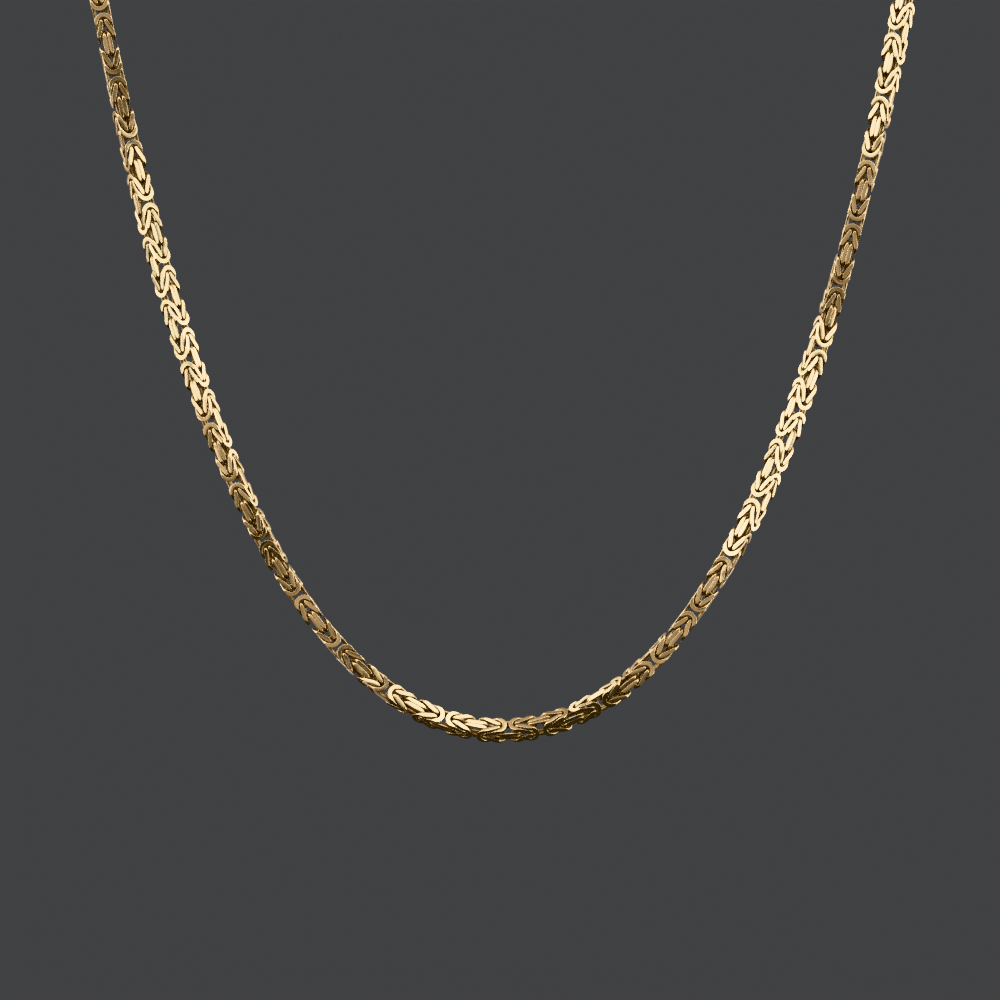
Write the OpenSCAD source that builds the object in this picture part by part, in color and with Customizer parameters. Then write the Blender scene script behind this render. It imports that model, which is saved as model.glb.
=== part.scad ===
// Byzantine neck chain of square section, closed by a plain box clasp at the nape.
// The front hangs as a catenary in the plane y = -neck_depth and faces -Y. From its top the two
// strands turn back round the neck and meet in the clasp, whose neck side lies at the origin.

/* [Chain] */
// Length of the closed necklace along the middle of its chain, clasp included
chain_length = 550; // [470:10:800]
// Width of the chain across two opposite filed faces
chain_w = 2.5; // [1.8:0.1:3.4]
// Cut that the round sides of the rings leave at each corner of the square section
corner = 0.2; // [0.1:0.05:0.5]

/* [Drape] */
// Distance between the two strands where they start to turn back
neck_w = 116; // [90:1:140]
// Distance from the plane of the hanging front to the neck side of the clasp
neck_depth = 95; // [70:1:115]
// Height of the nape above the place where the strands start to turn back
nape_rise = 40; // [10:1:60]

/* [Clasp] */
// Length of the clasp along the chain, end collars included
clasp_l = 10.5; // [9:0.5:20]
// Height of the clasp's box
clasp_h = 5; // [4.4:0.1:8]
// Thickness of the clasp's box, from the neck outwards
clasp_t = 4.2; // [4:0.1:7]
// Cut along each long edge of the clasp's box
clasp_edge = 0.6; // [0.2:0.1:1]
// Length of each end collar
collar_l = 1.6; // [0.8:0.1:2.5]
// Wall of each end collar round the chain
collar_wall = 0.45; // [0.3:0.05:0.6]
// Depth of each socket, measured from the collar's mouth
socket_depth = 2.4; // [1:0.1:3.5]
// Clearance between the chain's end and each wall of its socket
seat_gap = 0.1; // [0.05:0.01:0.2]
// Width of the seam where the two halves of the box meet
seam_w = 0.3; // [0.2:0.05:0.5]
// Depth of that seam
seam_depth = 0.25; // [0.1:0.05:0.4]
// Distance from the middle of the clasp to the seam
seam_x = 1.8; // [1:0.1:2]

/* [Hidden] */

// How the chain turns about its own middle line, chosen by hand. Place is -1 at the left top of the
// hanging front, 0 at its lowest point, 1 at its right top and -2 and 2 at the clasp's two mouths.
// Turn is in degrees, and at 0 and at each multiple of 90 a filed face looks straight out.
// Columns: place, turn
TURNS = [
  [-2, -90],
  [-1.5, -60],
  [-1, -4],
  [-0.65, 45],
  [-0.25, 90],
  [0.24, 180],
  [0.71, 270],
  [1, 310],
  [1.5, 350],
  [2, 360]
];
// How far the curve of each turned-back strand keeps the direction of its two ends, as a share of
// the neck's depth at the front and of its width at the nape
FRONT_PULL = 0.4;
NAPE_PULL = 0.5;
// Pieces that the length of a strand is summed from
LENGTH_STEPS = 60;
// The drape is found by halving, between a sharp and a flat bend given as shares of the neck's width
SHARP_BEND = 1 / 30;
FLAT_BEND = 4;
HALVINGS = 40;
// Sections of the chain's solid: steps on the hanging front, and on each turned-back strand
FRONT_STEPS = 38;
SIDE_STEPS = 19;
// How far a cutter reaches past what it cuts
OVER = 0.5;

chain_y = clasp_t / 2;
collar_w = chain_w + 2 * (seat_gap + collar_wall);
chain_end_x = clasp_l / 2 - socket_depth + seat_gap;

function hyp_sin(v) = (exp(v) - exp(-v)) / 2;
function hyp_arcsin(v) = ln(v + sqrt(v * v + 1));
function unit(v) = v / norm(v);
function sum(list) = list * [for (v = list) 1];

// The bend is the catenary's radius at its lowest point. A larger bend makes a shorter front.
function front_half(bend) = bend * hyp_sin(neck_w / 2 / bend);
function front_slope(bend) = unit([bend, 0, front_half(bend)]);

// Right-hand strand from the top of the front, at t = 0, to the clasp's mouth, at t = 1
function side_frame(bend) =
  let (
    top = [neck_w / 2, -neck_depth, -nape_rise],
    mouth = [clasp_l / 2, chain_y, 0]
  )
  [
    top,
    top + FRONT_PULL * neck_depth * front_slope(bend),
    mouth + [NAPE_PULL * neck_w, 0, 0],
    mouth
  ];
function side_point(p, t) =
  pow(1 - t, 3) * p[0] + 3 * pow(1 - t, 2) * t * p[1] + 3 * (1 - t) * t * t * p[2] + pow(t, 3) * p[3];
function side_way(p, t) =
  unit(pow(1 - t, 2) * (p[1] - p[0]) + 2 * (1 - t) * t * (p[2] - p[1]) + t * t * (p[3] - p[2]));
function side_length(p) =
  sum([
    for (i = [1:LENGTH_STEPS])
      norm(side_point(p, i / LENGTH_STEPS) - side_point(p, (i - 1) / LENGTH_STEPS))
  ]);

// The front hangs as low as the length of the necklace lets it
function loop_length(bend) = clasp_l + 2 * front_half(bend) + 2 * side_length(side_frame(bend));
function find_bend(low, high, left) =
  let (middle = (low + high) / 2)
  left == 0 ? middle :
  loop_length(middle) > chain_length ? find_bend(middle, high, left - 1) :
  find_bend(low, middle, left - 1);
bend = find_bend(SHARP_BEND * neck_w, FLAT_BEND * neck_w, HALVINGS);
half = front_half(bend);
side = side_frame(bend);
low_z = -nape_rise - norm([bend, half]) + bend;

function mirrored(v) = [-v[0], v[1], v[2]];
function reversed(v) = [v[0], -v[1], -v[2]];
function ease(t) = t * t * (3 - 2 * t);

// Middle of the chain at a place of the table, and the way along it
function point_at(place) =
  abs(place) <= 1 ?
    [
      bend * hyp_arcsin(place * half / bend),
      -neck_depth,
      low_z + norm([bend, place * half]) - bend
    ] :
  place > 1 ? side_point(side, place - 1) :
  mirrored(side_point(side, -place - 1));
function way_at(place) =
  abs(place) <= 1 ? unit([bend, 0, place * half]) :
  place > 1 ? side_way(side, place - 1) :
  reversed(side_way(side, -place - 1));

// Straight out from the neck, square to the chain
function outward_at(place) =
  let (
    round_neck = 180 * sign(place) * ease(max(0, abs(place) - 1)),
    out = [sin(round_neck), -cos(round_neck), 0],
    way = way_at(place)
  )
  unit(out - (out * way) * way);

// Turn at a place: a smooth curve through the table's rows
function row_at(place, i = 0) =
  i == len(TURNS) - 2 || place < TURNS[i + 1][0] ? i : row_at(place, i + 1);
function slope_at(i) =
  i == 0 || i == len(TURNS) - 1 ? 0 :
  (TURNS[i + 1][1] - TURNS[i - 1][1]) / (TURNS[i + 1][0] - TURNS[i - 1][0]);
function turn_at(place) =
  let (
    i = row_at(place),
    step = TURNS[i + 1][0] - TURNS[i][0],
    t = (place - TURNS[i][0]) / step
  )
  TURNS[i][1] + ease(t) * (TURNS[i + 1][1] - TURNS[i][1])
    + step * t * (1 - t) * ((1 - t) * slope_at(i) - t * slope_at(i + 1));

// Corners of a rectangle with its four edges cut
function cut_rectangle(across, up, cut) = [
  [across / 2, up / 2 - cut],
  [across / 2 - cut, up / 2],
  [cut - across / 2, up / 2],
  [-across / 2, up / 2 - cut],
  [-across / 2, cut - up / 2],
  [cut - across / 2, -up / 2],
  [across / 2 - cut, -up / 2],
  [across / 2, cut - up / 2]
];

// One section of the chain, square to it
function section(middle, way, outward, turn) =
  let (
    inward = cross(outward, way),
    first = cos(turn) * outward + sin(turn) * inward,
    second = cross(way, first)
  )
  [for (c = cut_rectangle(chain_w, chain_w, corner)) middle + c[0] * first + c[1] * second];
function section_at(place) =
  section(point_at(place), way_at(place), outward_at(place), turn_at(place));
function end_section(place) =
  section(
    [sign(place) * chain_end_x, chain_y, 0],
    way_at(place),
    outward_at(place),
    turn_at(place)
  );

module chain() {
  sections = [
    end_section(-2),
    for (i = [0:SIDE_STEPS - 1]) section_at(-2 + i / SIDE_STEPS),
    for (i = [0:FRONT_STEPS]) section_at(-1 + 2 * i / FRONT_STEPS),
    for (i = [1:SIDE_STEPS]) section_at(1 + i / SIDE_STEPS),
    end_section(2)
  ];
  sides = len(sections[0]);
  last = len(sections) - 1;
  first_cap = [for (k = [0:sides - 1]) k];
  last_cap = [for (k = [sides - 1:-1:0]) last * sides + k];
  walls = [
    for (i = [0:last - 1])
      for (k = [0:sides - 1])
        let (
          a = i * sides + k,
          b = i * sides + (k + 1) % sides
        )
        each [[a, a + sides, b], [b, a + sides, b + sides]]
  ];
  color("goldenrod")
    polyhedron(
      points = [for (s = sections) each s],
      faces = concat([first_cap], walls, [last_cap]),
      convexity = 8
    );
}

// Bar along the chain at the nape, with its long edges cut
module nape_bar(length, thickness, height, cut) {
  translate([0, chain_y, 0])
    rotate([90, 0, 90])
      linear_extrude(height = length, center = true)
        polygon(cut_rectangle(thickness, height, cut));
}

module socket() {
  hole = chain_w + 2 * seat_gap;
  translate([clasp_l / 2 - socket_depth, chain_y - hole / 2, -hole / 2])
    cube([2 * socket_depth, hole, hole]);
}

module seam() {
  translate([seam_x, 0, 0])
    difference() {
      nape_bar(seam_w, clasp_t + 2 * OVER, clasp_h + 2 * OVER, seam_depth);
      nape_bar(2 * seam_w, clasp_t - 2 * seam_depth, clasp_h - 2 * seam_depth, clasp_edge);
    }
}

module clasp() {
  color("gold")
    difference() {
      union() {
        nape_bar(clasp_l - 2 * collar_l, clasp_t, clasp_h, clasp_edge);
        nape_bar(clasp_l, collar_w, collar_w, collar_wall / 2);
      }
      socket();
      mirror([1, 0, 0])
        socket();
      seam();
    }
}

chain();
clasp();
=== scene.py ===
# A square byzantine neck chain in yellow gold, hanging as it is worn. The script dresses the packed
# model: interlocking rings stand for the chain's solid, and a finished box clasp for the clasp's.

import math

import bpy
import numpy as np
from mathutils import Euler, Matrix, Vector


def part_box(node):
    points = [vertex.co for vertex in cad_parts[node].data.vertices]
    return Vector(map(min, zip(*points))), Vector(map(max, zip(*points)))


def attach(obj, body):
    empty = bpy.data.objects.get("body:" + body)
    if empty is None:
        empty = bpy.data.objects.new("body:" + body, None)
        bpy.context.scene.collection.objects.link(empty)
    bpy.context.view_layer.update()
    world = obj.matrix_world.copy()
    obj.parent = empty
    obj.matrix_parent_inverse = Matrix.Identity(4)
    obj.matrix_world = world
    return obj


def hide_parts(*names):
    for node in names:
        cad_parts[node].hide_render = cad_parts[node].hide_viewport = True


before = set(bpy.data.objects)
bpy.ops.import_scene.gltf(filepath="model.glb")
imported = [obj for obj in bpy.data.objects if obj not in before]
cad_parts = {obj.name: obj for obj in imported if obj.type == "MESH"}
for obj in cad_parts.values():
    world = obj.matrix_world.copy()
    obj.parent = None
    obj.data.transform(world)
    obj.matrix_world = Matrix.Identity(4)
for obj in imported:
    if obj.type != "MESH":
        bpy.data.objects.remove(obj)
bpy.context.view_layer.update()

# The loop. The chain hangs from its clasp at the nape. Its two strands come round the neck and run
# into one catenary at the front, let down as low as the chain's length allows, and the chain turns
# slowly about its own middle line on the way.
MM = 0.001
CHAIN_LENGTH = 550 * MM
NECK_W = 116 * MM
NECK_DEPTH = 95 * MM
NAPE_RISE = 40 * MM
FRONT_PULL = 0.4
NAPE_PULL = 0.5
SOCKET_REACH = 3 * MM
LOOP_STEPS = 2000
# The front's bend is found by halving, between a sharp one and a flat one
SHARP_BEND = NECK_W / 30
FLAT_BEND = NECK_W * 4
HALVINGS = 50
# Place (-2 and 2 at the clasp, -1 and 1 at the tops of the front, 0 lowest) and turn in degrees
TURNS = np.array(
    [
        (-2, -90),
        (-1.5, -60),
        (-1, -4),
        (-0.65, 45),
        (-0.25, 90),
        (0.24, 180),
        (0.71, 270),
        (1, 310),
        (1.5, 350),
        (2, 360),
    ],
    dtype=float,
)

clasp_low, clasp_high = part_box("clasp")
mouth = np.array([clasp_high.x, (clasp_low.y + clasp_high.y) / 2, 0.0])
strand_length = CHAIN_LENGTH - 2 * mouth[0]


def unit(v):
    return v / np.linalg.norm(v, axis=-1, keepdims=True)


def ease(t):
    return t * t * (3 - 2 * t)


def front_half(bend):
    return bend * math.sinh(NECK_W / 2 / bend)


def front_points(bend):
    s = np.linspace(-1, 1, 2 * LOOP_STEPS + 1) * front_half(bend)
    lift = np.hypot(bend, s)
    across = bend * np.arcsinh(s / bend)
    return np.stack([across, np.full_like(s, -NECK_DEPTH), lift - lift[-1] - NAPE_RISE], 1)


def side_points(bend):
    top = np.array([NECK_W / 2, -NECK_DEPTH, -NAPE_RISE])
    slope = unit(np.array([bend, 0, front_half(bend)]))
    front_pull = top + FRONT_PULL * NECK_DEPTH * slope
    pulls = [top, front_pull, mouth + [NAPE_PULL * NECK_W, 0, 0], mouth]
    t = np.linspace(0, 1, LOOP_STEPS + 1)[:, None]
    weights = [(1 - t) ** 3, 3 * (1 - t) ** 2 * t, 3 * (1 - t) * t * t, t**3]
    return sum(w * p for w, p in zip(weights, pulls))


def length_of(points):
    return np.linalg.norm(np.diff(points, axis=0), axis=1).sum()


low, high = SHARP_BEND, FLAT_BEND
for _ in range(HALVINGS):
    bend = (low + high) / 2
    if 2 * front_half(bend) + 2 * length_of(side_points(bend)) > strand_length:
        low = bend
    else:
        high = bend

right_side = side_points(bend)
left_side = right_side[::-1] * [-1, 1, 1]
reach = np.array([SOCKET_REACH, 0, 0])
loop = np.concatenate(
    [
        [left_side[0] + reach],
        left_side[:-1],
        front_points(bend),
        right_side[1:],
        [right_side[-1] - reach],
    ]
)
# Place and length of chain at each point of the loop
steps = np.linspace(0, 1, LOOP_STEPS + 1)
front_places = np.linspace(-1, 1, 2 * LOOP_STEPS + 1)
places = np.concatenate([[-2], steps[:-1] - 2, front_places, 1 + steps[1:], [2]])
spans = np.linalg.norm(np.diff(loop, axis=0), axis=1)
along = np.concatenate([[0], np.cumsum(spans)]) - SOCKET_REACH


def turn_at(place):
    """Turn of the chain at a place, in radians: a smooth curve through the table's rows."""
    x, y = TURNS.T
    slope = np.zeros(len(x))
    slope[1:-1] = (y[2:] - y[:-2]) / (x[2:] - x[:-2])
    i = np.clip(np.searchsorted(x, place, side="right") - 1, 0, len(x) - 2)
    step = x[i + 1] - x[i]
    t = (place - x[i]) / step
    bow = step * t * (1 - t) * ((1 - t) * slope[i] - t * slope[i + 1])
    return np.radians(y[i] + ease(t) * (y[i + 1] - y[i]) + bow)


def chain_axes(s):
    """Middle of the chain at a length s from the left mouth, its two face ways and its own way."""

    def at(table):
        return np.array([np.interp(s, along, table[:, k]) for k in range(3)])

    middle = at(loop)
    way = unit(at(np.gradient(loop, along, axis=0)))
    place = np.interp(s, along, places)
    round_neck = math.pi * np.sign(place) * ease(max(0, abs(place) - 1))
    outward = np.array([math.sin(round_neck), -math.cos(round_neck), 0])
    outward = unit(outward - (outward @ way) * way)
    turn = turn_at(place)
    first = math.cos(turn) * outward + math.sin(turn) * np.cross(outward, way)
    return middle, first, np.cross(way, first), way


# Rings. Each is a closed loop of drawn gold wire, pressed oval in the die. A byzantine weave takes
# two connector rings side by side, then four knot rings folded back over them, then two connectors
# a quarter turn on. The four sides of the finished chain are then filed flat, through every ring.
CHAIN_W = 2.5 * MM
WIRE = 0.605 * MM
# Middle lines of the rings: half widths, half a connector's length, a knot ring's near end, and
# the gaps between two rings of a pair and where a knot ring hooks round the next pair
RING_SPREAD = 1.193 * MM
CONNECTOR_SPREAD = 1.15 * MM
CONNECTOR_HALF = 1.77 * MM
KNOT_END = 0.485 * MM
PAIR_GAP = 0.015 * MM
HOOK_GAP = 0.13 * MM
# Powers of the ovals: 2 is an ellipse, and more is squarer
CONNECTOR_SQUARENESS = 2.8
FACE_END_SQUARENESS = 2.1
HOOK_END_SQUARENESS = 3.0
HALF_PERIODS = 116
FIRST_JUNCTION = 0.86 * MM
OVAL_STEPS = 4000
RING_STEPS = 46
SIDES_BEHIND_KNOT = 6
SIDES_BEHIND_CONNECTOR = 9
# A flat's least half width round the wire, the least share of a face that a section of wire
# turns towards it, and the deepest cut, as a share of the wire's radius past its middle
LEAST_FLAT = math.radians(12)
LEAST_SHOWN = 0.3
MOST_FILED = -0.5
# Width of a flat's rounded edge and of a worn corner, the crown of a flat, and how many edge
# widths lie between a flat and the side that stays unfiled
EDGE_ROUND = 0.03 * MM
CORNER_ROUND = 0.09 * MM
CROWN = 0.06
CLEAR_EDGES = 3
# How unevenly each ring lies and is filed by hand
RING_TILT = math.radians(1.1)
RING_SHIFT = 0.008 * MM
UNEVEN_FILING = math.radians(2.0)

pitch = strand_length / HALF_PERIODS
face = CHAIN_W / 2
radius = WIRE / 2
side_by_side = radius + PAIR_GAP / 2
knot_hook = pitch - CONNECTOR_HALF + WIRE + HOOK_GAP
knot_middle = (KNOT_END + knot_hook) / 2
knot_half = (knot_hook - KNOT_END) / 2


def oval(spread, half_length, near_squareness, far_squareness):
    """Points of a squarish oval, evenly spaced: across the chain and along it."""
    a = np.linspace(0, 2 * math.pi, OVAL_STEPS + 1)
    power = 2 / np.where(np.cos(a) > 0, far_squareness, near_squareness)
    across = spread * np.sign(np.sin(a)) * abs(np.sin(a)) ** power
    length = half_length * np.sign(np.cos(a)) * abs(np.cos(a)) ** power
    gone = np.concatenate([[0], np.cumsum(np.hypot(np.diff(across), np.diff(length)))])
    even = np.linspace(0, gone[-1], RING_STEPS + 1)[:-1]
    return np.interp(even, gone, across), np.interp(even, gone, length)


def wire_section(centre, out, side, face_ways, behind):
    """Points and normals round one section of the wire, filed flat where it passes a face.

    Angles run round the wire from out towards side. A cut is the angle of its middle, half its
    width as an angle, and its face's way, or None where the wire doesn't reach that face.
    """
    step = EDGE_ROUND / radius
    cuts = []
    for usual, face_way in zip((0, math.pi / 2), face_ways):
        u, v = face_way @ out, face_way @ side
        shown = math.hypot(u, v)
        spare = (face - centre @ face_way) / (radius * max(shown, LEAST_SHOWN))
        if shown > LEAST_SHOWN and spare < math.cos(LEAST_FLAT):
            cuts.append((math.atan2(v, u), math.acos(max(spare, MOST_FILED)), face_way))
        else:
            cuts.append((usual, LEAST_FLAT, None))
    for n, sign in ((0, -1), (len(cuts) - 1, 1)):
        angle, spread, face_way = cuts[n]
        if face_way is None and len(cuts) == 2:
            other_angle, other_spread, _ = cuts[1 - n]
            clear = other_angle + sign * (other_spread + CLEAR_EDGES * step + spread)
            cuts[n] = (sign * max(sign * angle, sign * clear), spread, None)

    def on_wire(angle):
        way = math.cos(angle) * out + math.sin(angle) * side
        return centre + radius * way, way

    def on_face(n, w):
        angle, spread, face_way = cuts[n]
        if face_way is None:
            return on_wire(angle + math.copysign(spread, w))
        way = math.cos(angle) * out + math.sin(angle) * side
        aside = math.cos(angle) * side - math.sin(angle) * out
        place = centre + radius * math.cos(spread) * way + w * aside
        arm = place - centre
        return place, unit(face_way + CROWN * (arm - arm @ face_way * face_way) / radius)

    reaches = [radius * math.sin(spread) - EDGE_ROUND for _, spread, _ in cuts]
    ends = [[-flat, flat] for flat in reaches]
    section = [on_wire(cuts[0][0] - cuts[0][1] - step), on_face(0, ends[0][0])]
    if len(cuts) == 1:
        section.append(on_face(0, ends[0][1]))
    else:
        gap = cuts[1][0] - cuts[0][0]
        depths = [radius * math.cos(spread) for _, spread, _ in cuts]
        one_missing = cuts[0][2] is None or cuts[1][2] is None
        if one_missing or gap - cuts[0][1] - cuts[1][1] > 2 * step:
            # Round wire is left between the two flats
            low, high = cuts[0][0] + cuts[0][1] + step, cuts[1][0] - cuts[1][1] - step
            section.append(on_face(0, ends[0][1]))
            section += [on_wire(angle) for angle in (low, (low + high) / 2, high)]
        else:
            # The two flats meet in a corner, which wear has rounded
            for n, sign in ((0, 1), (1, -1)):
                meet = (depths[1 - n] - depths[n] * math.cos(gap)) / math.sin(gap)
                over = radius * math.sin(cuts[n][1]) - meet
                ends[n][1 - n] = sign * (meet - min(CORNER_ROUND, EDGE_ROUND + max(0, over)))
                tip = on_face(n, sign * meet)[0]
            first, last = on_face(0, ends[0][1]), on_face(1, ends[1][0])
            section.append(first)
            for t in (0.25, 0.5, 0.75):
                place = (1 - t) ** 2 * first[0] + 2 * t * (1 - t) * tip + t * t * last[0]
                section.append((place, unit((1 - t) * first[1] + t * last[1])))
        section += [on_face(1, ends[1][0]), on_face(1, ends[1][1])]
    start = cuts[-1][0] + cuts[-1][1] + step
    end = 2 * math.pi + cuts[0][0] - cuts[0][1] - step
    section += [on_wire(start + (end - start) * k / (behind + 1)) for k in range(behind + 1)]
    return section


def wire_ring(middle, normal, filed_front, behind):
    """Points and normals of one ring, step by step along its middle line and round its wire."""
    way = unit(np.roll(middle, -1, axis=0) - np.roll(middle, 1, axis=0))
    side = unit(normal - (way @ normal)[:, None] * way)
    out = np.cross(way, side)
    if ((middle - middle.mean(axis=0)) * out).sum() < 0:
        out = -out
    rows = []
    for p, o, s in zip(middle, out, side):
        face_ways = [np.array([math.copysign(1, p[0]), 0, 0])]
        if filed_front:
            face_ways.append(normal)
        rows.append(wire_section(p, o, s, face_ways, behind))
    return tuple(np.array([[point[n] for point in row] for row in rows]) for n in (0, 1))


def ring_faces(points, normals):
    """Quads over a ring's grid of points, and each corner's place on the unrolled wire."""
    steps, sides = points.shape[:2]
    i, j = np.meshgrid(np.arange(steps), np.arange(sides), indexing="ij")
    corners = [(i, j), (i, j + 1), (i + 1, j + 1), (i + 1, j)]
    a, b = points[0, 0], points[0, 1]
    c = points[1, 1]
    if np.cross(b - a, c - b) @ normals[0, 0] < 0:
        corners.reverse()
    quads = np.stack([(u % steps) * sides + v % sides for u, v in corners], -1)
    step_length = np.linalg.norm(points[1:] - points[:-1], axis=2).mean()
    widths = np.linalg.norm(np.roll(points, -1, axis=1) - points, axis=2).mean(axis=0)
    girth = np.concatenate([[0], np.cumsum(widths)])
    unrolled = np.stack([np.stack([u * step_length, girth[v]], -1) for u, v in corners], 2)
    return quads.reshape(-1, 4), unrolled.reshape(-1, 4, 2)


across, length = oval(CONNECTOR_SPREAD, CONNECTOR_HALF, CONNECTOR_SQUARENESS, CONNECTOR_SQUARENESS)
connector = wire_ring(
    np.stack([across, np.full_like(across, side_by_side), length], 1),
    np.array([0.0, 1.0, 0.0]),
    False,
    SIDES_BEHIND_CONNECTOR,
)
across, length = oval(RING_SPREAD, knot_half, FACE_END_SQUARENESS, HOOK_END_SQUARENESS)
fold = ease((length + knot_half) / (2 * knot_half))
knot = wire_ring(
    np.stack([across, (RING_SPREAD - side_by_side) * fold - RING_SPREAD, length + knot_middle], 1),
    np.array([0.0, -1.0, 0.0]),
    True,
    SIDES_BEHIND_KNOT,
)

# One half period of the weave, in straight axes with the chain along the third. The rings of the
# next one are the same, a quarter turn on.
HALF_TURN = np.diag([-1.0, -1.0, 1.0])
SWAP = np.array([[0.0, 1.0, 0.0], [1.0, 0.0, 0.0], [0.0, 0.0, -1.0]])
swap_shift = np.array([0, 0, pitch])
WEAVE = [
    (connector, np.eye(3), np.zeros(3)),
    (connector, HALF_TURN, np.zeros(3)),
    (knot, np.eye(3), np.zeros(3)),
    (knot, HALF_TURN, np.zeros(3)),
    (knot, SWAP, swap_shift),
    (knot, HALF_TURN @ SWAP, swap_shift),
]
HAND_SEED = 585
hand = np.random.default_rng(HAND_SEED)


def placed_ring(k, ring, turn, shift):
    """Points and normals of a ring of half period k, and its points in the straight weave."""
    points, normals = (table.reshape(-1, 3) @ turn.T for table in ring)
    points = points + shift
    centre = points.mean(axis=0)
    junction = FIRST_JUNCTION + k * pitch
    middle, first, second, way = chain_axes(junction + centre[2])
    axes = np.array([first, second, way] if k % 2 == 0 else [-second, first, way])
    tilt, lean = (
        np.array(Euler(hand.normal(0, angle, 3)).to_matrix())
        for angle in (RING_TILT, UNEVEN_FILING)
    )
    moved = (points - centre) @ tilt.T + centre * [1, 1, 0] + hand.normal(0, RING_SHIFT, 3)
    return middle + moved @ axes, normals @ (lean @ tilt).T @ axes, points + [0, 0, junction]


# The unrolled rings lie side by side on the sheet of the finish
STRIPS_ACROSS = 5
STRIP_MARGIN = 0.15 * MM


def chain_piece(name, first, last):
    """The rings of some half periods as one mesh, with its finish's own coordinates."""
    tables = {key: [] for key in ("places", "normals", "weave", "tones", "quads", "unrolled")}
    strip = [
        max(ring_faces(*ring)[1][..., n].max() for ring in (connector, knot)) + STRIP_MARGIN
        for n in (0, 1)
    ]
    count = 0
    for k in range(first, last):
        for ring, turn, shift in WEAVE:
            place, normal, local = placed_ring(k, ring, turn, shift)
            quads, unrolled = ring_faces(*ring)
            row, column = divmod(len(tables["places"]), STRIPS_ACROSS)
            tables["places"].append(place)
            tables["normals"].append(normal)
            tables["weave"].append(local)
            tables["tones"].append(np.full(len(place), hand.random()))
            tables["quads"].append(quads + count)
            tables["unrolled"].append(unrolled + [column * strip[0], row * strip[1]])
            count += len(place)
    joined = {key: np.concatenate(rows) for key, rows in tables.items()}
    mesh = bpy.data.meshes.new(name)
    mesh.from_pydata(joined["places"], [], joined["quads"])
    mesh.shade_smooth()
    mesh.normals_split_custom_set_from_vertices(joined["normals"])
    weave = mesh.attributes.new("weave", "FLOAT_VECTOR", "POINT")
    weave.data.foreach_set("vector", joined["weave"].ravel())
    tone = mesh.attributes.new("tone", "FLOAT", "POINT")
    tone.data.foreach_set("value", joined["tones"])
    sheet = max(STRIPS_ACROSS * strip[0], (row + 1) * strip[1])
    layer = mesh.uv_layers.new(name="OFBake")
    layer.uv.foreach_set("vector", ((joined["unrolled"] + STRIP_MARGIN / 2) / sheet).ravel())
    piece = bpy.data.objects.new(name, mesh)
    bpy.context.scene.collection.objects.link(piece)
    return piece


def put(tree, kind, inputs, **settings):
    """A node of a shader tree. Each of its inputs is set to a value or joined to a socket."""
    node = tree.nodes.new("ShaderNode" + kind)
    for name, value in settings.items():
        setattr(node, name, value)
    for name, value in inputs.items():
        if isinstance(value, bpy.types.NodeSocket):
            tree.links.new(value, node.inputs[name])
        else:
            node.inputs[name].default_value = value
    return node


def math_node(tree, operation, *values):
    return put(tree, "Math", dict(enumerate(values)), operation=operation).outputs[0]


def new_group(name, inputs, outputs):
    """A shader node group. Inputs are label, kind of socket and value, outputs label and kind."""
    group = bpy.data.node_groups.new(name, "ShaderNodeTree")
    for label, kind, value in inputs:
        socket = group.interface.new_socket(label, in_out="INPUT", socket_type="NodeSocket" + kind)
        if value is not None:
            socket.default_value = value
    for label, kind in outputs:
        group.interface.new_socket(label, in_out="OUTPUT", socket_type="NodeSocket" + kind)
    return group, group.nodes.new("NodeGroupInput"), group.nodes.new("NodeGroupOutput")


# The file's own strokes: fine lines along a filed face, with a few deeper ones among them
strokes, given, result = new_group(
    "file_strokes",
    [
        ("Place", "Vector", None),
        ("Lines per mm", "Float", 9.0),
        ("Stroke length in mm", "Float", 2.5),
    ],
    [("Lines", "Float")],
)
fine = math_node(strokes, "MULTIPLY", given.outputs["Lines per mm"], 1 / MM)
slow = math_node(strokes, "DIVIDE", 1 / MM, given.outputs["Stroke length in mm"])
grain = put(strokes, "CombineXYZ", {"X": fine, "Y": fine, "Z": slow})
drawn = put(
    strokes, "VectorMath", {0: given.outputs["Place"], 1: grain.outputs[0]}, operation="MULTIPLY"
)
lines = put(
    strokes,
    "TexNoise",
    {"Vector": drawn.outputs[0], "Scale": 1.0, "Detail": 3.0, "Roughness": 0.7},
)
coarse = put(strokes, "TexNoise", {"Vector": drawn.outputs[0], "Scale": 0.37, "Detail": 1.0})
deep = put(strokes, "MapRange", {"Value": coarse.outputs[0], 1: 0.66, 2: 0.72, 3: 0.0, 4: 0.5})
scored = math_node(strokes, "SUBTRACT", lines.outputs[0], deep.outputs[0])
strokes.links.new(scored, result.inputs["Lines"])

# Handling: faint cloudy marks of skin and cloth, which change how sharply the gold reflects
handling, given, result = new_group(
    "handling_marks",
    [
        ("Place", "Vector", None),
        ("Size in mm", "Float", 1.5),
        ("Clean", "Float", 0.1),
        ("Marked", "Float", 0.2),
    ],
    [("Roughness", "Float")],
)
scale = math_node(handling, "DIVIDE", 1 / MM, given.outputs["Size in mm"])
cloud = put(handling, "TexNoise", {"Vector": given.outputs["Place"], "Scale": scale, "Detail": 4.0})
marked = put(
    handling,
    "MapRange",
    {
        "Value": cloud.outputs[0],
        1: 0.35,
        2: 0.65,
        3: given.outputs["Clean"],
        4: given.outputs["Marked"],
    },
)
handling.links.new(marked.outputs[0], result.inputs["Roughness"])

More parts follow.
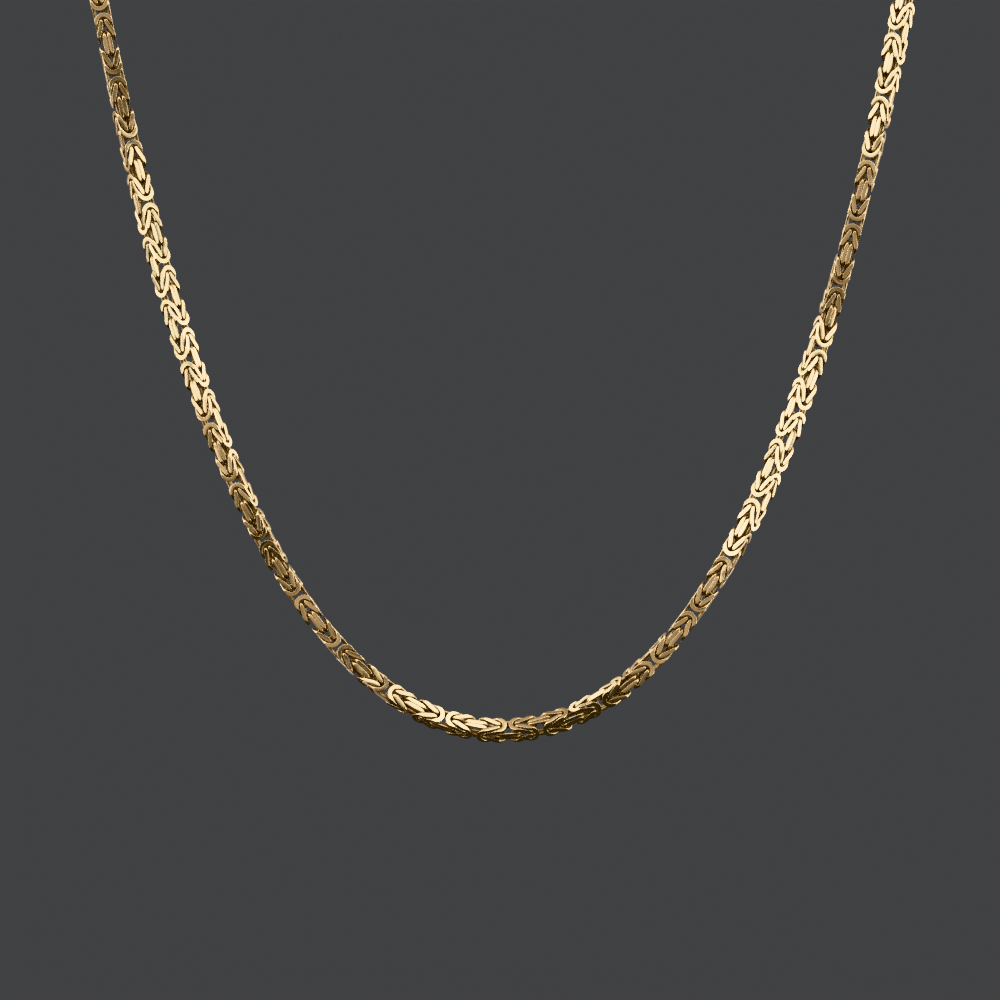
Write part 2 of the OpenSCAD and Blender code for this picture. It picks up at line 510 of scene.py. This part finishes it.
# Gold with painted shade: its own pale colour on the open faces, painted darker and browner in the
# hollows for the shade that falls there, and for a little tarnish that polishing can't reach
gold_with_hollow_shade, given, result = new_group(
    "gold_with_hollow_shade",
    [
        ("Rubbed gold", "Color", (0.9, 0.6, 0.3, 1)),
        ("Hollow gold", "Color", (0.5, 0.3, 0.1, 1)),
        ("Hollow", "Float", 0.0),
        ("Tone", "Float", 0.5),
    ],
    [("Colour", "Color")],
)
mixed = put(
    gold_with_hollow_shade,
    "Mix",
    {
        0: given.outputs["Hollow"],
        6: given.outputs["Rubbed gold"],
        7: given.outputs["Hollow gold"],
    },
    data_type="RGBA",
)
bright = put(gold_with_hollow_shade, "MapRange", {"Value": given.outputs["Tone"], 3: 0.93, 4: 1.03})
toned = put(gold_with_hollow_shade, "HueSaturation", {"Value": bright.outputs[0], "Color": mixed.outputs[2]})
gold_with_hollow_shade.links.new(toned.outputs[0], result.inputs["Colour"])


def group_node(tree, group, **inputs):
    node = tree.nodes.new("ShaderNodeGroup")
    node.node_tree = group
    for name, value in inputs.items():
        socket = node.inputs[name.replace("_", " ")]
        if isinstance(value, bpy.types.NodeSocket):
            tree.links.new(value, socket)
        else:
            socket.default_value = value
    return node.outputs[0]


def gold_material(name):
    material = bpy.data.materials.new(name)
    material.use_nodes = True
    shader = material.node_tree.nodes["Principled BSDF"]
    shader.inputs["Metallic"].default_value = 1
    return material, material.node_tree, shader


chain_gold, tree, shader = gold_material("chain_gold")
weave = put(tree, "Attribute", {}, attribute_name="weave")
tone = put(tree, "Attribute", {}, attribute_name="tone")
split = put(tree, "SeparateXYZ", {"Vector": weave.outputs["Vector"]})
sides = [math_node(tree, "ABSOLUTE", split.outputs[n]) for n in (0, 1)]
reach = math_node(tree, "MAXIMUM", *sides)
# Painted shade: gold deeper than the filed faces is painted darker and browner, from just under a
# face to fully 0.1 mm down, for the shade in the weave's hollows and a little tarnish there
FILED_DEPTH = 0.004 * MM
SHADE_START_DEPTH = 0.005 * MM
SHADE_FULL_DEPTH = 0.1 * MM
filed = math_node(tree, "GREATER_THAN", reach, face - FILED_DEPTH)
hollow_shade = put(
    tree,
    "MapRange",
    {"Value": reach, 1: face - SHADE_START_DEPTH, 2: face - SHADE_FULL_DEPTH, 3: 0.0, 4: 1.0},
)
colour = group_node(
    tree,
    gold_with_hollow_shade,
    Rubbed_gold=(1.0, 0.755, 0.40, 1),
    Hollow_gold=(0.36, 0.23, 0.095, 1),
    Hollow=hollow_shade.outputs[0],
    Tone=tone.outputs["Fac"],
)
tree.links.new(colour, shader.inputs["Base Color"])
marks = group_node(
    tree, handling, Place=weave.outputs["Vector"], Size_in_mm=1.2, Clean=0.09, Marked=0.2
)
rough = math_node(tree, "MULTIPLY_ADD", filed, 0.03, marks)
rough = math_node(tree, "MULTIPLY_ADD", hollow_shade.outputs[0], 0.1, rough)
tree.links.new(rough, shader.inputs["Roughness"])
lines = group_node(
    tree, strokes, Place=weave.outputs["Vector"], Lines_per_mm=8.0, Stroke_length_in_mm=5.0
)
height = math_node(tree, "MULTIPLY", lines, filed)
bump = put(tree, "Bump", {"Height": height, "Strength": 1.0, "Distance": 0.0008 * MM})
tree.links.new(bump.outputs[0], shader.inputs["Normal"])

PIECES = 5
for n in range(PIECES):
    first, last = HALF_PERIODS * n // PIECES, HALF_PERIODS * (n + 1) // PIECES
    piece = chain_piece(f"chain_rings_{n + 1}", first, last)
    piece.data.materials.append(chain_gold)
    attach(piece, "root")
    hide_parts("chain")

# Clasp. A plain box clasp of the same gold closes the chain at the nape: a box with a soft-edged
# square body, a seam where its two halves meet, and a collar at each end that takes the last ring.
EDGE = 0.6 * MM
EDGE_STEPS = 4
CORNER_STEPS = 6
COLLAR = 1.6 * MM
COLLAR_HALF = 1.8 * MM
SOCKET_HALF = 1.35 * MM
SOCKET_DEPTH = 2.4 * MM
SOCKET_CORNER = 0.15 * MM
COLLAR_CORNER = 0.45 * MM
RIM_ROUND = 0.12 * MM
ROOT_FILLET = 0.2 * MM
SEAM_X = 1.8 * MM
SEAM_W = 0.3 * MM
SEAM_DEPTH = 0.25 * MM
SEAM_ROUND = 0.06 * MM
# How far the middle of a small rounding lies from its two sides, as a share of its radius
ROUND_MIDDLE = 0.3

half = np.array([clasp_high.x, (clasp_high.y - clasp_low.y) / 2, clasp_high.z])


def end_stations():
    """Sections of the clasp's end, from its socket's bottom out and back to the body's flank.

    Each is its x, its half y, its half z and the radius of its corners.
    """
    end = half[0]
    part_way = RIM_ROUND * ROUND_MIDDLE
    squares = [
        (end - SOCKET_DEPTH, SOCKET_HALF, SOCKET_CORNER),
        (end - RIM_ROUND, SOCKET_HALF, SOCKET_CORNER),
        (end - part_way, SOCKET_HALF + part_way, SOCKET_CORNER),
        (end, SOCKET_HALF + RIM_ROUND, SOCKET_CORNER + RIM_ROUND),
        (end, COLLAR_HALF - RIM_ROUND, COLLAR_CORNER - RIM_ROUND),
        (end - part_way, COLLAR_HALF - part_way, COLLAR_CORNER),
        (end - RIM_ROUND, COLLAR_HALF, COLLAR_CORNER),
    ]
    rows = [(x, across, across, corner) for x, across, corner in squares]
    root = end - COLLAR
    for t in np.linspace(0, math.pi / 2, EDGE_STEPS):
        grown = COLLAR_HALF + ROOT_FILLET * (1 - math.cos(t))
        rows.append((root + ROOT_FILLET * (1 - math.sin(t)), grown, grown, COLLAR_CORNER))
    for t in np.linspace(0, math.pi / 2, EDGE_STEPS + 1):
        drop = EDGE * (1 - math.sin(t))
        rows.append((root - EDGE * (1 - math.cos(t)), half[1] - drop, half[2] - drop, EDGE))
    return rows


def rounded(half_y, half_z, corner):
    """A rounded rectangle's points, in order."""
    points = []
    for quarter, (y, z) in enumerate(((1, 1), (-1, 1), (-1, -1), (1, -1))):
        for k in range(CORNER_STEPS + 1):
            a = math.radians(90 * quarter + 90 * k / CORNER_STEPS)
            across, up = corner * math.cos(a), corner * math.sin(a)
            points.append((y * (half_y - corner) + across, z * (half_z - corner) + up))
    return points


seam = []
for x, deep in (
    (SEAM_W / 2 + SEAM_ROUND, 0),
    (SEAM_W / 2 + SEAM_ROUND * ROUND_MIDDLE, SEAM_ROUND * ROUND_MIDDLE),
    (SEAM_W / 2, SEAM_ROUND),
    (SEAM_W / 2, SEAM_DEPTH),
    (0, SEAM_DEPTH + SEAM_ROUND * ROUND_MIDDLE),
    (-SEAM_W / 2, SEAM_DEPTH),
    (-SEAM_W / 2, SEAM_ROUND),
    (-SEAM_W / 2 - SEAM_ROUND * ROUND_MIDDLE, SEAM_ROUND * ROUND_MIDDLE),
    (-SEAM_W / 2 - SEAM_ROUND, 0),
):
    seam.append((SEAM_X + x, half[1] - deep, half[2] - deep, EDGE))
stations = end_stations() + seam + [(-x, *rest) for x, *rest in reversed(end_stations())]
middle_y = (clasp_low.y + clasp_high.y) / 2
points = [(x, middle_y + y, z) for x, *section in stations for y, z in rounded(*section)]
sides = 4 * (CORNER_STEPS + 1)
quads = []
for n in range(len(stations) - 1):
    for k in range(sides):
        near, far = n * sides, (n + 1) * sides
        beside = (k + 1) % sides
        quads.append((near + k, near + beside, far + beside, far + k))
last = (len(stations) - 1) * sides
caps = [tuple(range(sides))[::-1], tuple(range(last, last + sides))]
mesh = bpy.data.meshes.new("box_clasp")
mesh.from_pydata(points, [], quads + caps)
mesh.flip_normals()
mesh.shade_smooth()
clasp = bpy.data.objects.new("box_clasp", mesh)
bpy.context.scene.collection.objects.link(clasp)
clasp.modifiers.new("flat_faces", "WEIGHTED_NORMAL")

clasp_gold, tree, shader = gold_material("clasp_gold")
place = put(tree, "TexCoord", {}).outputs["Object"]
turned = put(
    tree, "VectorRotate", {"Vector": place, "Angle": math.pi / 2}, rotation_type="Y_AXIS"
).outputs[0]
# Painted shade: the clasp's gold is painted darker and browner where its surface is hollow, as in
# the seam, the sockets and the fillets, by how little it bulges
convexity = put(tree, "NewGeometry", {}).outputs["Pointiness"]
hollow_shade = put(tree, "MapRange", {"Value": convexity, 1: 0.5, 2: 0.42, 3: 0.0, 4: 1.0})
colour = group_node(
    tree,
    gold_with_hollow_shade,
    Rubbed_gold=(1.0, 0.755, 0.40, 1),
    Hollow_gold=(0.36, 0.23, 0.095, 1),
    Hollow=hollow_shade.outputs[0],
)
tree.links.new(colour, shader.inputs["Base Color"])
marks = group_node(tree, handling, Place=place, Size_in_mm=2.5, Clean=0.13, Marked=0.24)
tree.links.new(marks, shader.inputs["Roughness"])
lines = group_node(tree, strokes, Place=turned, Lines_per_mm=7.0, Stroke_length_in_mm=4.0)
bump = put(tree, "Bump", {"Height": lines, "Strength": 1.0, "Distance": 0.003 * MM})
tree.links.new(bump.outputs[0], shader.inputs["Normal"])
mesh.materials.append(clasp_gold)
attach(clasp, "root")
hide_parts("clasp")

# Studio. The camera looks level at the hanging front, from far enough away to keep the strands
# parallel. A pale painted floor lies well below the necklace, and the chain doesn't mirror it.
PHOTO_PX = 1000
PX = CHAIN_W / 17.5
LOWEST_PX = (501.9, 730.3)
camera_data = bpy.data.cameras.new("camera")
camera_data.lens = 200
camera_data.sensor_width = 36
camera_data.clip_end = 100
camera = bpy.data.objects.new("camera", camera_data)
bpy.context.scene.collection.objects.link(camera)
bpy.context.scene.camera = camera
distance = PHOTO_PX * PX * camera_data.lens / camera_data.sensor_width
camera.location = (
    (PHOTO_PX / 2 - LOWEST_PX[0]) * PX,
    -NECK_DEPTH - distance,
    loop[:, 2].min() + (LOWEST_PX[1] - PHOTO_PX / 2) * PX,
)
camera.rotation_euler = (math.pi / 2, 0, 0)

floor_mesh = bpy.data.meshes.new("floor")
FLOOR_HALF = 6.0
FLOOR_Z = -0.9
corners = [
    (x * FLOOR_HALF, y * FLOOR_HALF, FLOOR_Z) for x, y in ((-1, -1), (1, -1), (1, 1), (-1, 1))
]
floor_mesh.from_pydata(corners, [], [(0, 1, 2, 3)])
paint = bpy.data.materials.new("pale_paint")
paint.use_nodes = True
tree = paint.node_tree
place = put(tree, "TexCoord", {}).outputs["Object"]
spread = put(tree, "TexNoise", {"Vector": place, "Scale": 3.0, "Detail": 5.0})
shade = put(
    tree,
    "Mix",
    {0: spread.outputs[0], 6: (0.62, 0.62, 0.61, 1), 7: (0.68, 0.68, 0.67, 1)},
    data_type="RGBA",
)
tree.links.new(shade.outputs[2], tree.nodes["Principled BSDF"].inputs["Base Color"])
tree.nodes["Principled BSDF"].inputs["Roughness"].default_value = 0.8
floor_mesh.materials.append(paint)
floor = bpy.data.objects.new("floor", floor_mesh)
bpy.context.scene.collection.objects.link(floor)
floor.visible_glossy = False

# The tent: bright white walls left and right, bright cloth above its open front, and dim openings
# towards the camera, behind and below. The chain mirrors it, and the camera sees a plain backdrop.
WALL = 2.4
CLOTH = 2.8
CEILING = 0.40
OPENING = 0.41
BELOW = 0.04
LEFT_WIDENS = 0.38
# Dark things outside the tent: azimuth and elevation in degrees, the cosines of the angles at
# which they end and are darkest, and the light that is left there
DARK_THINGS = (
    (-26, -11, 0.983, 0.996, 0.0),
    (28, 11, 0.945, 0.98, 0.5),
    (67, 19, 0.965, 0.99, 0.3),
)
world = bpy.data.worlds.new("tent")
bpy.context.scene.world = world
world.use_nodes = True
tree = world.node_tree
tent_way = put(tree, "TexCoord", {}).outputs["Generated"]
way = put(tree, "SeparateXYZ", {"Vector": tent_way}).outputs


def fades(value, start, end):
    """Rises smoothly from 0 at start to 1 at end."""
    settings = {"Value": value, "From Min": start, "From Max": end}
    return put(tree, "MapRange", settings, interpolation_type="SMOOTHSTEP").outputs[0]


def times(first, second):
    return math_node(tree, "MULTIPLY", first, second)


# Ranges below are parts of a way's length: 1 is straight up, right or back. The walls go by how far
# the level part of the way turns right or left, and straight up or down that part must not be zero.
ALMOST_ONE = 1.0001
level = math_node(tree, "SQRT", math_node(tree, "SUBTRACT", ALMOST_ONE, times(way[2], way[2])))
right = math_node(tree, "DIVIDE", way[0], level)
left = math_node(
    tree, "MULTIPLY_ADD", fades(way[2], 0.01, 0.19), LEFT_WIDENS, times(right, -1.0)
)
wall = math_node(tree, "MAXIMUM", fades(left, 0.79, 0.93), fades(right, 0.61, 0.78))
wall = times(wall, fades(way[2], 0.86, 0.72))
wall = times(wall, math_node(tree, "MAXIMUM", fades(way[1], 0.82, 0.62), 0.2))
folds = put(tree, "TexNoise", {"Vector": tent_way, "Scale": 7.0, "Detail": 3.0})
folds = put(
    tree, "MapRange", {"Value": folds.outputs[0], 1: 0.36, 2: 0.64, 3: 0.2, 4: 1.75}
).outputs[0]
cloth = times(fades(way[2], 0.38, 0.56), fades(way[1], 0.1, -0.1))
cloth = times(cloth, fades(way[2], 0.99, 0.93))
glow = math_node(tree, "MULTIPLY_ADD", fades(way[2], 0.3, 0.7), CEILING - OPENING, OPENING)
glow = math_node(tree, "MAXIMUM", glow, times(times(wall, folds), WALL))
glow = math_node(tree, "MAXIMUM", glow, times(cloth, CLOTH))
glow = times(glow, folds)
for azimuth, elevation, least_cos, most_cos, rest in DARK_THINGS:
    az, el = math.radians(azimuth), math.radians(elevation)
    aim = (math.sin(az) * math.cos(el), -math.cos(az) * math.cos(el), math.sin(el))
    near = put(tree, "VectorMath", {0: tent_way, 1: aim}, operation="DOT_PRODUCT").outputs["Value"]
    glow = times(glow, math_node(tree, "MAXIMUM", fades(near, most_cos, least_cos), rest))
under = fades(way[2], -0.30, -0.52)
over = math_node(tree, "SUBTRACT", 1.0, under)
glow = math_node(tree, "ADD", times(glow, over), times(under, BELOW))
tint = put(
    tree,
    "Mix",
    {0: math_node(tree, "MAXIMUM", wall, cloth), 6: (1.0, 0.87, 0.84, 1), 7: (1.0, 1.075, 1.2, 1)},
    data_type="RGBA",
)
backdrop = tree.nodes["Background"]
backdrop.inputs["Color"].default_value = (0.092, 0.093, 0.096, 1)
tent = put(tree, "Background", {"Color": tint.outputs[2], "Strength": glow})
seen = put(tree, "LightPath", {})
both = put(
    tree,
    "MixShader",
    {0: seen.outputs["Is Camera Ray"], 1: tent.outputs[0], 2: backdrop.outputs[0]},
)
tree.links.new(both.outputs[0], tree.nodes["World Output"].inputs["Surface"])
bpy.context.scene.view_settings.view_transform = "Khronos PBR Neutral"
